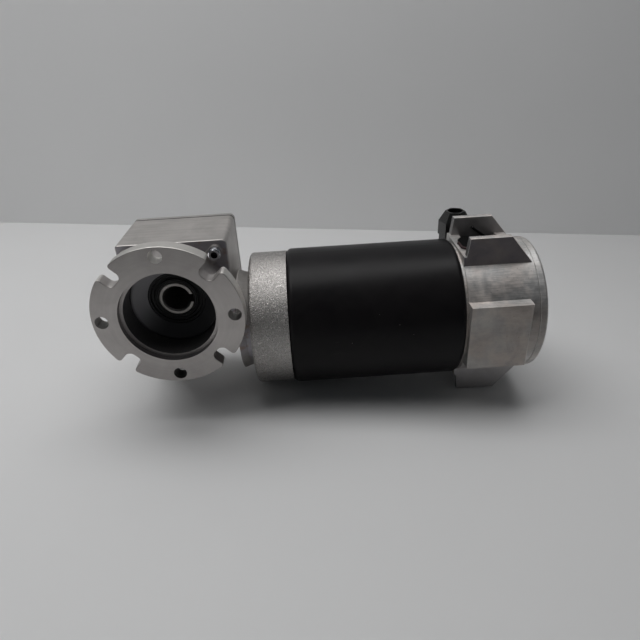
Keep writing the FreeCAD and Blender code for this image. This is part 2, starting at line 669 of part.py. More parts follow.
def lug(side, up):
    """One upright mounting lug of trapezium outline on the rear end bell."""
    y0 = MOTOR_Y + side * (LUG_OUT - LUG_T)
    left, right = LUG_ROOT_X
    corners = [(left, LUG_FOOT), (right, LUG_FOOT), (right, LUG_ROOT), (LUG_TOP_X[1], LUG_HEIGHT),
               (LUG_TOP_X[0], LUG_HEIGHT), (left, LUG_ROOT)]
    plate = polygon([(x, y0, MOTOR_Z + up * z) for x, z in corners]).extrude(Vec(0, side * LUG_T, 0))
    rim = []
    for edge in plate.Edges:
        across = abs(edge.tangentAt(edge.FirstParameter).y) > 0.01
        low = min(abs(v.Z - MOTOR_Z) for v in edge.Vertexes)
        if not across and low > LUG_ROOT - 0.6:
            rim.append(edge)
    return plate.makeFillet(LUG_ROUND, rim)


LEAD_R = 0.9
BLACK_LEAD = [(234.4, 77.0, 8.7), (234.4, 84.6, 8.7), (223.0, 84.6, 17.2), (222.4, 92.4, 17.0),
              (222.4, 92.4, -4.0)]
RED_LEAD = [(214.2, 51.0, 7.7), (214.2, 51.0, 12.45), (212.2, 52.8, 12.45), (207.7, 58.1, 12.45),
            (207.7, 67.0, 12.45), (207.7, 67.0, 2.0)]


def run_along(route, radius):
    """A thin round run through the points of a route, with ball corners."""
    points = [Vec(*p) for p in route]
    pieces = []
    for a, b in zip(points, points[1:]):
        pieces.append(Part.makeCylinder(radius, (b - a).Length, a, b - a))
    pieces += [Part.makeSphere(radius, p) for p in points[1:-1]]
    return fuse(*pieces)


LEAD_HOLE_GAP = 0.3
NECKING_R = 49.4
PAD_X = (205.0, 248.6)
BELL_BEVEL = 0.6
SEAM_W = 0.5
SEAM_DEPTH = 1.2
PAD_ROOT = 44.0
WINDOW_FLOOR = 30.0
GLAND_BOSS_R = 10.5
GLAND_SEAT_R = 12.9
GLAND_TAP_R = 8.0
GLAND_WAY_R = 5.5
SHAFT_WAY_R = 10.0


def side_pads():
    """The flat mounting pads on both sides of the bell, as one block through it."""
    block = box(*PAD_X, MOTOR_Y - SIDE_PAD_OUT, MOTOR_Y + SIDE_PAD_OUT,
                MOTOR_Z - SIDE_PAD_HALF, MOTOR_Z + SIDE_PAD_HALF)
    ends = []
    for edge in block.Edges:
        upright = abs(edge.tangentAt(edge.FirstParameter).z) > 0.99
        if upright and edge.BoundBox.XMin > PAD_X[1] - 0.1:
            ends.append(edge)
    return block.makeChamfer(SIDE_PAD_BEVEL, ends)


def brush_pad(up):
    """The flat pad between two lugs, whose end slopes with them."""
    start = PAD_X[0]
    side = [(start, 0), (start, PAD_HEIGHT), (PAD_END, PAD_HEIGHT), (PAD_FOOT, PAD_ROOT), (PAD_FOOT, 0)]
    face = polygon([(x, MOTOR_Y - LUG_OUT, MOTOR_Z + up * z) for x, z in side])
    return face.extrude(Vec(0, 2 * LUG_OUT, 0))


def brush_pocket(up):
    """The shallow recess between two lugs and the window through its floor."""
    tools = []
    for half, floor in ((POCKET_HALF_Y, WINDOW_FLOOR), (RECESS_HALF_Y, RECESS_FLOOR)):
        zs = sorted((MOTOR_Z + up * floor, MOTOR_Z + up * FAR))
        tools.append(box(*POCKET_X, MOTOR_Y - half, MOTOR_Y + half, *zs))
    return tools


def rear_end_bell():
    body = cyl_x(REAR_R, REAR_START, REAR_END)
    body = body.makeChamfer(BELL_BEVEL, arc_edges(body, REAR_R, 0, REAR_START))
    necking = cyl_x(NECKING_R, TUBE_END, REAR_START + 1)
    spigot = cyl_x(TUBE_BORE_R - SCREW_GAP, TUBE_END - SPIGOT, TUBE_END + 1)
    gland_boss = cyl_z(GLAND_BOSS_R, BOSS_TOP_Z - 27, BOSS_TOP_Z, GLAND_X, GLAND_Y)
    lugs = [lug(side, up) for side in (-1, 1) for up in (-1, 1)]
    pads = [side_pads(), brush_pad(1), brush_pad(-1)]
    shell = fuse(body, necking, spigot, gland_boss, *pads, *lugs)
    lead_hole_r = LEAD_R + LEAD_HOLE_GAP
    tools = [
        cyl_x(BELL_ROOM_R, TUBE_END - SPIGOT - 1, BELL_WALL_X),
        cyl_x(SHAFT_WAY_R, BELL_WALL_X - 1, REAR_BEARING_X[0]),
        cyl_x(MOTOR_BEARING_R, REAR_BEARING_X[0] - 0.7, REAR_END + 1),
        cyl_x(CAP_ROOM_R, REAR_BEARING_X[1], REAR_END + 1),
        tube_x(REAR_R + 1, REAR_R - SEAM_DEPTH, REAR_END - SEAM_W, REAR_END + 1),
        cyl_z(GLAND_SEAT_R, BOSS_TOP_Z, FAR, GLAND_X, GLAND_Y),
        cyl_z(GLAND_TAP_R, BOSS_TOP_Z - 9.5, 0, GLAND_X, GLAND_Y),
        cyl_z(GLAND_WAY_R, BOSS_TOP_Z - 21, 0, GLAND_X, GLAND_Y),
        run_along(BLACK_LEAD[2:], lead_hole_r),
        run_along(RED_LEAD[4:], lead_hole_r),
    ]
    tools += brush_pocket(1) + brush_pocket(-1)
    for angle in BOLT_ANGLES:
        spot = motor_point(BOLT_R, angle, 0)
        tools.append(cyl_x(M5["clear"], BELL_WALL_X - 6, REAR_END, spot.y, spot.z))
    for angle in CAP_SCREW_ANGLES:
        spot = motor_point(CAP_SCREW_R, angle, 0)
        tools.append(cyl_x(M4["r"] + SCREW_GAP, REAR_END - 10, REAR_END + 1, spot.y, spot.z))
    save("rear_end_bell", cut(shell, *tools))
    save("motor_lead_black", run_along(BLACK_LEAD, LEAD_R))
    save("motor_lead_red", run_along(RED_LEAD, LEAD_R))


CAP_ROUND = 2.4
CAP_SCREW_SINK = 2.5
CAP_DISH_R = 38.0
CAP_SCREW_LENGTH = 9.0
WASHER_R = (17.2, 13.0)


def rear_cap():
    disc = cyl_x(REAR_R, REAR_END, CAP_END)
    disc = disc.makeFillet(CAP_ROUND, arc_edges(disc, REAR_R, 0, CAP_END))
    disc = disc.makeChamfer(CAP_SEAM, arc_edges(disc, REAR_R, 0, REAR_END))
    disc = fuse(disc, cyl_x(CAP_ROOM_R - SCREW_GAP, REAR_END - 2, REAR_END + 1))
    seat = CAP_END - CAP_SCREW_SINK
    tools = [cyl_x(CAP_DISH_R, REAR_END - 3, seat)]
    screws = []
    screw = socket_screw(M4, CAP_SCREW_LENGTH)
    for angle in CAP_SCREW_ANGLES:
        spot = motor_point(CAP_SCREW_R, angle, seat)
        tools.append(cyl_x(M4["clear"], REAR_END - 6, CAP_END + 1, spot.y, spot.z))
        tools.append(cyl_x(M4["head_r"] + 0.2, seat, CAP_END + 3, spot.y, spot.z))
        screws.append(place(screw, spot, X_AXIS))
    save("rear_cap", cut(disc, *tools))
    save("rear_cap_screws", Part.makeCompound(screws))


def through_bolts():
    start = REAR_BEARING_X[1]
    bolt = socket_screw(LOW_HEAD_M5, start - BOLT_TAP_X - 1)
    bolts = [place(bolt, motor_point(BOLT_R, a, start), X_AXIS) for a in BOLT_ANGLES]
    save("through_bolts", Part.makeCompound(bolts))
    save("wave_washer", tube_x(*WASHER_R, REAR_BEARING_X[0] - 0.6, REAR_BEARING_X[0] - 0.1))


# ---- brushes ------------------------------------------------------------------------------------
HOLDER_IN = 22.0
HOLDER_OUT = 47.6
CAP_PLATE = (51.55, 52.8)
CAP_BLOCK_X = (216.0, 236.5)
CAP_BLOCK_HALF_Y = 11.0
CAP_OUTLINE = [(208.6, 7.2), (213.0, 12.4), (224.0, 12.4)]
SPRING_R = 3.0
SPRING_WIRE_R = 0.45
SPRING_TURNS = 5
BRUSH_GAP = 0.08


def coil_spring(z0, z1, x, y):
    """A compression spring of round wire along +Z."""
    height = z1 - z0 - 2 * SPRING_WIRE_R
    helix = Part.makeHelix(height / SPRING_TURNS, height, SPRING_R)
    circle = Part.Circle(Vec(SPRING_R, 0, 0), Y_AXIS, SPRING_WIRE_R)
    wire = Part.Wire(circle.toShape())
    coil = Part.Wire(helix.Edges).makePipeShell([wire], True, True)
    coil.translate(Vec(x, y, z0 + SPRING_WIRE_R))
    return coil


def brush_set(end, up):
    """Holder, carbon brush, spring and cap on one side of the commutator."""
    half_x, half_y = BRUSH_SIZE[0] / 2, BRUSH_SIZE[1] / 2
    gap = BRUSH_GAP

    def slab(x0, x1, half, r0, r1):
        zs = sorted((MOTOR_Z + up * r0, MOTOR_Z + up * r1))
        return box(x0, x1, MOTOR_Y - half, MOTOR_Y + half, zs[0], zs[1])

    body = slab(POCKET_X[0] + gap, BELL_WALL_X - gap, POCKET_HALF_Y - gap, HOLDER_IN, HOLDER_OUT)
    flange = slab(POCKET_X[0] + gap, POCKET_X[1] - gap, RECESS_HALF_Y - gap, RECESS_FLOOR, HOLDER_OUT)
    holder = fuse(body, flange)
    wide = half_x + gap
    window = slab(BRUSH_X - wide, BRUSH_X + wide, half_y + gap, HOLDER_IN - 1, HOLDER_OUT + 1)
    save("brush_holder_" + end, holder.cut(window))
    brush_in = COMMUTATOR_R + LIP_GAP
    brush_out = brush_in + BRUSH_SIZE[2]
    brush = slab(BRUSH_X - half_x, BRUSH_X + half_x, half_y, brush_in - 1, brush_out)
    save("brush_" + end, brush.cut(cyl_x(brush_in, RISER_START, BELL_WALL_X)))
    zs = sorted((MOTOR_Z + up * (brush_out + 0.02), MOTOR_Z + up * (HOLDER_OUT - 0.02)))
    save("brush_spring_" + end, coil_spring(zs[0], zs[1], BRUSH_X, MOTOR_Y))
    block = slab(*CAP_BLOCK_X, CAP_BLOCK_HALF_Y, HOLDER_OUT, CAP_PLATE[0])
    corners = CAP_OUTLINE + [(x, -y) for x, y in reversed(CAP_OUTLINE)]
    face = polygon([(x, MOTOR_Y + y, MOTOR_Z + up * CAP_PLATE[0]) for x, y in corners])
    plate = face.extrude(Vec(0, 0, up * (CAP_PLATE[1] - CAP_PLATE[0])))
    save("brush_cap_" + end, fuse(block, plate))


# ---- cable gland --------------------------------------------------------------------------------
GLAND_AF = 22.0
GLAND_BODY_AF = 20.0
GLAND_BODY_TOP = 4.4
GLAND_NUT_Z = (4.9, 16.3)
GLAND_STUB_R = 7.9
GLAND_STUB_DEPTH = 9.0
GLAND_COLLAR_R = 8.4
GLAND_COLLAR_TOP = 12.0
GLAND_BORE_R = 5.3
GLAND_MOUTH_R = 5.9
GLAND_TURN = 44.0
GLAND_TOP = 24.5
GLAND_TOP_AF = 13.6
GLAND_SEAL_ROOM = 6.0
SEAL_GAP = 0.1
CABLE_R = 4.5


def cable_gland():
    """The gland's body in the bell, its dome nut, and the rubber seal that grips the cable."""
    x, y = GLAND_X, GLAND_Y
    low, shoulder = GLAND_NUT_Z
    stub = cyl_z(GLAND_STUB_R, BOSS_TOP_Z - GLAND_STUB_DEPTH, BOSS_TOP_Z, x, y)
    base = hexagon(GLAND_BODY_AF, BOSS_TOP_Z, GLAND_BODY_TOP, x, y, GLAND_TURN)
    collar = cyl_z(GLAND_COLLAR_R, GLAND_BODY_TOP - 0.4, GLAND_COLLAR_TOP, x, y)
    save("gland_body", cut(fuse(stub, base, collar), cyl_z(GLAND_BORE_R, -FAR, GLAND_COLLAR_TOP + 1, x, y)))
    wide = closed_wire(hexagon_points(GLAND_AF, shoulder, x, y, GLAND_TURN))
    narrow = closed_wire(hexagon_points(GLAND_TOP_AF, GLAND_TOP, x, y, GLAND_TURN))
    dome = Part.makeLoft([wide, narrow], True, True)
    room_top = GLAND_COLLAR_TOP + GLAND_SEAL_ROOM
    room = cyl_z(GLAND_COLLAR_R + SCREW_GAP, low - 1, room_top, x, y)
    nut = fuse(hexagon(GLAND_AF, low, shoulder, x, y, GLAND_TURN), dome)
    save("gland_nut", cut(nut, room, cyl_z(GLAND_MOUTH_R, low, FAR, x, y)))
    ring = cyl_z(GLAND_COLLAR_R - 0.2, GLAND_COLLAR_TOP + SEAL_GAP, room_top - SEAL_GAP, x, y)
    save("gland_seal", cut(ring, cyl_z(CABLE_R, GLAND_COLLAR_TOP, room_top, x, y)))


OUTPUT_BALL_R = 2.6
WORM_BALL_R = 2.4
MOTOR_BALL_R = 3.2


def bearings():
    front = Vec(0, sum(FRONT_BEARING_Y) / 2, 0)
    back = Vec(0, sum(REAR_BEARING_Y) / 2, 0)
    ball_bearing("output_bearing_front", Y_AXIS, front, SHAFT_R, BEARING_R, BEARING_W, OUTPUT_BALL_R, 14)
    ball_bearing("output_bearing_rear", Y_AXIS, back, SHAFT_R, BEARING_R, BEARING_W, OUTPUT_BALL_R, 14)
    for name, x in (("worm_bearing_left", -WORM_BEARING_X), ("worm_bearing_right", WORM_BEARING_X)):
        spot = Vec(x, MOTOR_Y, MOTOR_Z)
        ball_bearing(name, X_AXIS, spot, WORM_JOURNAL_R, WORM_BEARING_R, WORM_BEARING_W, WORM_BALL_R, 8)
    for name, span in (("motor_bearing_front", FRONT_BEARING_X), ("motor_bearing_rear", REAR_BEARING_X)):
        spot = Vec(sum(span) / 2, MOTOR_Y, MOTOR_Z)
        ball_bearing(name, X_AXIS, spot, ROTOR_SEAT_R, MOTOR_BEARING_R, span[1] - span[0], MOTOR_BALL_R, 8)


output_flange()
gearbox_housing()
rear_cover()
seals()
hollow_shaft()
worm_wheel()
worm_shaft()
motor_front_bell()
motor_tube()
field_magnets()
motor_shaft()
armature()
commutator()
rear_end_bell()
rear_cap()
through_bolts()
brush_set("top", 1)
brush_set("bottom", -1)
cable_gland()
bearings()

os.makedirs("parts", exist_ok=True)
for node, shape in PARTS.items():
    if not shape.isValid():
        print("not valid:", node)
    shape.exportStep("parts/" + node + ".step")
print(len(PARTS), "parts")
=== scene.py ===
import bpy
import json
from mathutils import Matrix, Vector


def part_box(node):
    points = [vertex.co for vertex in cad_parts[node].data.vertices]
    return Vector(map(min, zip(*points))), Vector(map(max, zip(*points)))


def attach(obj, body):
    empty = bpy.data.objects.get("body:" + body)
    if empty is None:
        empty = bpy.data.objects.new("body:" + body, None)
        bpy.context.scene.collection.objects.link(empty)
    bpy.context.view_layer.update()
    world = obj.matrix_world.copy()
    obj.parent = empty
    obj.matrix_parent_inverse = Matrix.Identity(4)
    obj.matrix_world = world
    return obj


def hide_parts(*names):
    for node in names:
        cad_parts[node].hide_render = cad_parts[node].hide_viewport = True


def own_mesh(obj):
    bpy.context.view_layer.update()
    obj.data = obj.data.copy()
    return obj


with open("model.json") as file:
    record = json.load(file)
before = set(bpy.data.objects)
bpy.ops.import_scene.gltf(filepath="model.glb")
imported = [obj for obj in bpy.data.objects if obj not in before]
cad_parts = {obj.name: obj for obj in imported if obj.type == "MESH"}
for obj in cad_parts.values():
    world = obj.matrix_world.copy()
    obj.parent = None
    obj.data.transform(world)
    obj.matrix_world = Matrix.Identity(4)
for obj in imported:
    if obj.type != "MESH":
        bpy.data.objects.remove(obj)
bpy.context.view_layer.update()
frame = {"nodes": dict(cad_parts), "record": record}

# Looks for a right-angle worm gearmotor. Metres, in the CAD frame: the output flange's front
# face is at Y = 0 on the output axis, +X runs along the motor, +Z is up.
import json
from math import cos, pi, radians, sin

import bpy
from mathutils import Matrix, Vector

scene = bpy.context.scene
nodes = frame["nodes"]

# ---- places taken from the frame -----------------------------------------------------------------
TUBE_LOW, TUBE_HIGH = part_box("motor_tube")
BELL_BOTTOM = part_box("motor_front_bell")[0].z
LUG_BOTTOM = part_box("rear_end_bell")[0].z
MOTOR_Y = (TUBE_LOW.y + TUBE_HIGH.y) / 2
MOTOR_Z = (TUBE_LOW.z + TUBE_HIGH.z) / 2
SHAFT_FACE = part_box("hollow_output_shaft")[0].y
BOX_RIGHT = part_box("rear_cover")[1].x
GASKET_LOW, GASKET_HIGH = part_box("rear_cover_gasket")
GASKET_Y = (GASKET_LOW.y + GASKET_HIGH.y) / 2

# ---- camera --------------------------------------------------------------------------------------
CAMERA_PLACE = (0.0949, -0.3022, 0.1654)
CAMERA_YAW = radians(0.74)
CAMERA_DOWN = radians(29.9)
CAMERA_ROLL = radians(-3.37)
LENS_MM = 29.58
SENSOR_MM = 36.0


def make_camera():
    level = cos(CAMERA_DOWN)
    forward = Vector((sin(CAMERA_YAW) * level, cos(CAMERA_YAW) * level, -sin(CAMERA_DOWN)))
    right = Vector((cos(CAMERA_YAW), -sin(CAMERA_YAW), 0))
    up = right.cross(forward)
    side = right * cos(CAMERA_ROLL) + up * sin(CAMERA_ROLL)
    top = up * cos(CAMERA_ROLL) - right * sin(CAMERA_ROLL)
    turn = Matrix((side, top, -forward)).transposed().to_4x4()
    data = bpy.data.cameras.new("camera")
    data.lens = LENS_MM
    data.sensor_width = SENSOR_MM
    data.clip_start = 0.01
    data.clip_end = 20
    camera = bpy.data.objects.new("camera", data)
    camera.matrix_world = Matrix.Translation(CAMERA_PLACE) @ turn
    scene.collection.objects.link(camera)
    scene.camera = camera


# ---- node helpers --------------------------------------------------------------------------------
class Shader:
    """A material with a Principled shader and short calls for the nodes that feed it."""

    def __init__(self, name, **constants):
        self.material = bpy.data.materials.new(name)
        self.material.use_nodes = True
        self.tree = self.material.node_tree
        self.surface = self.tree.nodes["Principled BSDF"]
        for socket, value in constants.items():
            self.surface.inputs[socket.replace("_", " ")].default_value = value
        self.place = self.node("ShaderNodeTexCoord").outputs["Object"]

    def node(self, kind, **settings):
        made = self.tree.nodes.new(kind)
        for key, value in settings.items():
            setattr(made, key, value)
        return made

    def link(self, source, target):
        self.tree.links.new(source, target)

    def stretch(self, scale):
        """The object's coordinates times a scale on each axis."""
        made = self.node("ShaderNodeMapping")
        made.inputs["Scale"].default_value = scale
        self.link(self.place, made.inputs["Vector"])
        return made.outputs["Vector"]

    def noise(self, scale, detail=2.0, rough=0.5, vector=None, distortion=0.0):
        made = self.node("ShaderNodeTexNoise")
        made.inputs["Scale"].default_value = scale
        made.inputs["Detail"].default_value = detail
        made.inputs["Roughness"].default_value = rough
        made.inputs["Distortion"].default_value = distortion
        self.link(vector or self.place, made.inputs["Vector"])
        return made.outputs["Fac"]

    def voronoi(self, scale):
        made = self.node("ShaderNodeTexVoronoi", feature="F1")
        made.inputs["Scale"].default_value = scale
        self.link(self.place, made.inputs["Vector"])
        return made

    def cells(self, scale):
        """The distance from the middle of each cell of a packed grain."""
        return self.voronoi(scale).outputs["Distance"]

    def grains(self, scale):
        """A random number for each cell of a packed grain."""
        split = self.node("ShaderNodeSeparateColor")
        self.link(self.voronoi(scale).outputs["Color"], split.inputs[0])
        return split.outputs[0]

    def ramp(self, value, *stops):
        """A colour ramp: each stop is (position, grey or colour)."""
        made = self.node("ShaderNodeValToRGB")
        points = made.color_ramp.elements
        while len(points) < len(stops):
            points.new(0.5)
        for point, (where, colour) in zip(points, stops):
            point.position = where
            grey = isinstance(colour, (int, float))
            point.color = (colour, colour, colour, 1) if grey else (*colour, 1)
        self.link(value, made.inputs["Fac"])
        return made.outputs["Color"]

    def math(self, kind, a, b=None):
        made = self.node("ShaderNodeMath", operation=kind)
        for socket, value in zip(made.inputs, (a, b)):
            if value is None:
                continue
            if isinstance(value, (int, float)):
                socket.default_value = value
            else:
                self.link(value, socket)
        return made.outputs[0]

    def blend(self, kind, factor, a, b):
        made = self.node("ShaderNodeMix", data_type="RGBA", blend_type=kind)
        for socket, value in zip((made.inputs[0], made.inputs[6], made.inputs[7]), (factor, a, b)):
            if isinstance(value, (int, float)):
                socket.default_value = value
            elif isinstance(value, tuple):
                socket.default_value = (*value, 1)
            else:
                self.link(value, socket)
        return made.outputs[2]

    def radius(self, axis, centre=(0, 0, 0)):
        """The distance of each point from an axis through a centre."""
        moved = self.node("ShaderNodeVectorMath", operation="SUBTRACT")
        self.link(self.place, moved.inputs[0])
        moved.inputs[1].default_value = centre
        flat = self.node("ShaderNodeVectorMath", operation="MULTIPLY")
        self.link(moved.outputs[0], flat.inputs[0])
        flat.inputs[1].default_value = [0.0 if k == axis else 1.0 for k in range(3)]
        length = self.node("ShaderNodeVectorMath", operation="LENGTH")
        self.link(flat.outputs[0], length.inputs[0])
        return length.outputs["Value"]

    def mirrored(self, axis, centre=0.0):
        """The distance from a plane across an axis."""
        return self.math("ABSOLUTE", self.math("SUBTRACT", self.along(axis), centre))

    def reach_of(self, a, b):
        """The length of the flat vector with sides a and b."""
        squares = self.math("ADD", self.math("POWER", a, 2.0), self.math("POWER", b, 2.0))
        return self.math("SQRT", squares)

    def along(self, axis):
        """A point's place on an axis."""
        split = self.node("ShaderNodeSeparateXYZ")
        self.link(self.place, split.inputs[0])
        return split.outputs[axis]

    def share(self, axis):
        """A point's place on an axis as a share of the flange, from 0 at -50 mm to 1 at 50 mm."""
        return self.math("ADD", self.math("MULTIPLY", self.along(axis), 0.5 / FLANGE_R), 0.5)

    def facing(self, axis):
        """How squarely a surface faces along an axis: 1 on it, 0 at right angles to it."""
        coords = self.node("ShaderNodeTexCoord")
        split = self.node("ShaderNodeSeparateXYZ")
        self.link(coords.outputs["Normal"], split.inputs[0])
        return self.math("ABSOLUTE", split.outputs[axis])

    def above(self, value, limit, soft=0.0002):
        """1 where a value is above a limit, 0 below it, with a short soft step."""
        made = self.node("ShaderNodeMapRange", interpolation_type="SMOOTHSTEP")
        self.link(value, made.inputs["Value"])
        made.inputs["From Min"].default_value = limit - soft
        made.inputs["From Max"].default_value = limit + soft
        return made.outputs["Result"]

    def below(self, value, limit, soft=0.0002):
        return self.math("SUBTRACT", 1.0, self.above(value, limit, soft))

    def both(self, a, b):
        """1 where two masks are both 1."""
        return self.math("MULTIPLY", a, b)

    def line_noise(self, value, scale, detail=3.0):
        """Noise that changes along one number only, for turning marks."""
        made = self.node("ShaderNodeTexNoise", noise_dimensions="1D")
        made.inputs["Scale"].default_value = scale
        made.inputs["Detail"].default_value = detail
        self.link(value, made.inputs["W"])
        return made.outputs["Fac"]

    def bump(self, height, strength, distance, under=None):
        made = self.node("ShaderNodeBump")
        made.inputs["Strength"].default_value = strength
        made.inputs["Distance"].default_value = distance
        self.link(height, made.inputs["Height"])
        if under:
            self.link(under, made.inputs["Normal"])
        return made.outputs["Normal"]

    def feed(self, socket, value):
        self.link(value, self.surface.inputs[socket])

    def set_bump(self, *layers):
        """Layers of (height, strength, distance), coarse first."""
        normal = None
        for height, strength, distance in layers:
            normal = self.bump(height, strength, distance, normal)
        self.feed("Normal", normal)


# ---- materials -----------------------------------------------------------------------------------
WARM = (1.0, 0.955, 0.935)
COOL = (0.97, 0.985, 1.0)
DARK_CUP = (0.02, 0.02, 0.0225)
# Grey that stands for painted light on the upper left of the boss's black cone.
CONE_PAINTED_LIGHT = (0.3, 0.293, 0.305)
X, Y, Z = 0, 1, 2

# Places on the metal where a finish changes, or where painted light or shade begins.
FLANGE_R = 0.05
RIM_BEVEL = 0.0011
CUP_R = 0.0304
PILOT_R = 0.0325
PILOT_DEPTH = 0.0045
HOLE_PCD_R = 0.0435
HOLE_R = 0.0045
THREAD_PITCH = 0.00125
BOX_FRONT_Y = 0.0372
BOSS_FACE_Y = 0.0226
JOINT_SHADE_HALF = 0.0009
# How far up and left the painted light on the boss's cone begins, and how softly.
CONE_LEAN = 0.012
CONE_LEAN_SOFT = 0.024
SCREW_AT = HOLE_PCD_R * cos(pi / 4)
SOCKET_R = 0.00236
SOCKET_END_Y = 0.034
RIB_PITCH = 0.0021
SIDE_PAD_HALF = 0.0256
LUG_FOOT = 0.0446
LUG_END_FOOT = 0.0521
BORE_R = 0.0122
BORE_START_Y = SHAFT_FACE + 0.0012


def sand_cast():
    """Sand-cast aluminium of the front bell: matt, with a sparkle of bright grains and fine pits."""
    s = Shader("bell_cast", Metallic=0.92)
    stain = s.noise(26, 5, 0.6)
    sand = s.noise(1500, 3, 0.7)
    grain = s.grains(1500)
    pit = s.cells(1700)
    tone = s.ramp(stain, (0.3, (0.425, 0.405, 0.39)), (0.7, (0.53, 0.51, 0.495)))
    speck = s.ramp(sand, (0.34, 0.45), (0.5, 0.88), (0.62, 1.0))
    glint = s.ramp(grain, (0.15, 0.72), (0.7, 0.92), (0.9, 1.0))
    tone = s.blend("MULTIPLY", 0.6, tone, speck)
    s.feed("Base Color", s.blend("MULTIPLY", 0.6, tone, glint))
    s.feed("Roughness", s.ramp(grain, (0.15, 0.4), (0.6, 0.3), (0.95, 0.2)))
    s.set_bump((stain, 0.12, 0.001), (sand, 0.7, 0.0005), (pit, 0.45, 0.0004))
    return s.material


def die_cast():
    """Smoother cast aluminium of the rear bell: stains, scratches and fine pits, and darker milled lugs,
    painted in a lit and a shaded copy: lighter on the far and lower lugs, darker on the near upper one.
    """
    s = Shader("rear_cast", Metallic=0.86)
    cloud = s.noise(38, 6, 0.62, distortion=0.8)
    patch = s.noise(120, 5, 0.7)
    scratch = s.noise(1.0, 4, 0.6, s.stretch((70, 2000, 520)))
    pits = s.ramp(s.cells(210), (0.035, 0.3), (0.09, 1.0))
    tint = s.noise(60, 4, 0.6)
    height = s.mirrored(Z, MOTOR_Z)
    square = s.above(s.facing(Y), 0.9, 0.06)
    pad = s.both(square, s.below(height, SIDE_PAD_HALF, 0.0004))
    stops = (0.3, (0.5, 0.49, 0.475)), (0.5, (0.68, 0.66, 0.64)), (0.72, (0.84, 0.82, 0.795))
    tone = s.ramp(cloud, *stops)
    tone = s.blend("MULTIPLY", 1.0, tone, s.ramp(tint, (0.4, COOL), (0.6, WARM)))
    tone = s.blend("MULTIPLY", 0.6, tone, s.ramp(patch, (0.32, 0.55), (0.6, 1.0)))
    marked = s.math("SUBTRACT", 0.36, s.math("MULTIPLY", pad, 0.22))
    tone = s.blend("MULTIPLY", marked, tone, s.ramp(scratch, (0.38, 0.5), (0.54, 1.0)))
    tone = s.blend("MULTIPLY", 0.6, tone, pits)
    tone = s.blend("MULTIPLY", pad, tone, (0.62, 0.6, 0.585))
    lug = s.both(square, s.above(height, LUG_FOOT, 0.0006))
    lug_end = s.both(s.above(s.facing(X), 0.9, 0.06), s.above(height, LUG_END_FOOT, 0.0006))
    tone = s.blend("MULTIPLY", lug_end, tone, (0.42, 0.42, 0.43))
    # Painted light and shade on the lugs: the far and lower lugs, which lie in shade, get a lighter copy of
    # the milled tone than the near upper lug.
    near_top = s.both(s.below(s.along(Y), MOTOR_Y), s.above(s.along(Z), MOTOR_Z))
    lug_painted_light = s.ramp(patch, (0.3, (0.36, 0.345, 0.345)), (0.7, (0.48, 0.465, 0.465)))
    lug_painted_dark = s.ramp(cloud, (0.3, (0.12, 0.115, 0.13)), (0.7, (0.18, 0.16, 0.155)))
    milled = s.blend("MIX", near_top, lug_painted_light, lug_painted_dark)
    s.feed("Base Color", s.blend("MIX", lug, tone, milled))
    grain = s.noise(1900, 3, 0.6)
    s.feed("Roughness", s.ramp(patch, (0.3, 0.4), (0.7, 0.6)))
    s.set_bump((cloud, 0.12, 0.001), (scratch, 0.08, 0.0001), (grain, 0.35, 0.00018))
    return s.material


def box_metal():
    """The gearbox: milled flats with long streaks, a dark line round the rear joint, a cast neck painted
    darker towards its top as painted shade, and black paint in the front boss with painted light turning it
    grey at its upper left; the front face has a bluish tint and brown patches, both painted reflection."""
    metallic = 0.92
    s = Shader("box_metal", Metallic=metallic)
    streak = s.noise(1.0, 5, 0.65, s.stretch((26, 1500, 900)))
    wide = s.noise(1.0, 4, 0.65, s.stretch((14, 330, 160)))
    cloud = s.noise(44, 5, 0.62, distortion=0.5)
    stain = s.noise(85, 4, 0.65)
    tone = s.ramp(cloud, (0.3, (0.43, 0.41, 0.395)), (0.7, (0.56, 0.535, 0.515)))
    tone = s.blend("MULTIPLY", 0.3, tone, s.ramp(streak, (0.34, 0.6), (0.62, 1.0)))
    tone = s.blend("MULTIPLY", 0.22, tone, s.ramp(wide, (0.38, 0.55), (0.6, 1.0)))
    # The front face is tinted bluish, a painted reflection.
    front = s.both(s.above(s.facing(Y), 0.9, 0.06), s.below(s.along(Y), BOX_FRONT_Y + 0.0008))
    tone = s.blend("MULTIPLY", front, tone, (0.98, 0.99, 1.1))
    # Brown patches on the front face stand for a brown reflection: painted reflection.
    brown_reflection = s.both(front, s.ramp(stain, (0.55, 0.0), (0.66, 0.7)))
    tone = s.blend("MIX", brown_reflection, tone, (0.36, 0.24, 0.17))
    joint = s.below(s.mirrored(Y, GASKET_Y), JOINT_SHADE_HALF, 0.0003)
    tone = s.blend("MULTIPLY", joint, tone, (0.22, 0.22, 0.22))
    # The neck is painted darker above its lowest part, a painted shade on its upper side.
    neck = s.above(s.along(X), BOX_RIGHT + 0.0006)
    tone = s.blend("MULTIPLY", neck, tone, s.ramp(s.share(Z), (0.05, 1.0), (0.35, 0.62)))
    painted = s.both(s.below(s.radius(Y), CUP_R), s.below(s.along(Y), BOX_FRONT_Y))
    cone = s.above(s.along(Y), BOSS_FACE_Y - 0.0008, 0.0003)
    # The upper left of the boss's cone is painted grey: painted light on the black paint.
    lean = s.math("SUBTRACT", s.along(Z), s.along(X))
    painted_light_wedge = s.both(cone, s.above(lean, CONE_LEAN, CONE_LEAN_SOFT))
    paint = s.blend("MIX", painted_light_wedge, DARK_CUP, CONE_PAINTED_LIGHT)
    s.feed("Base Color", s.blend("MIX", painted, tone, paint))
    s.feed("Metallic", s.math("SUBTRACT", metallic, s.math("MULTIPLY", painted, metallic)))
    rough = s.blend("MIX", neck, s.ramp(streak, (0.3, 0.36), (0.7, 0.52)), (0.62, 0.62, 0.62))
    s.feed("Roughness", s.blend("MIX", painted, rough, (0.46, 0.46, 0.46)))
    s.set_bump((wide, 0.05, 0.0006), (streak, 0.14, 0.00012))
    return s.material


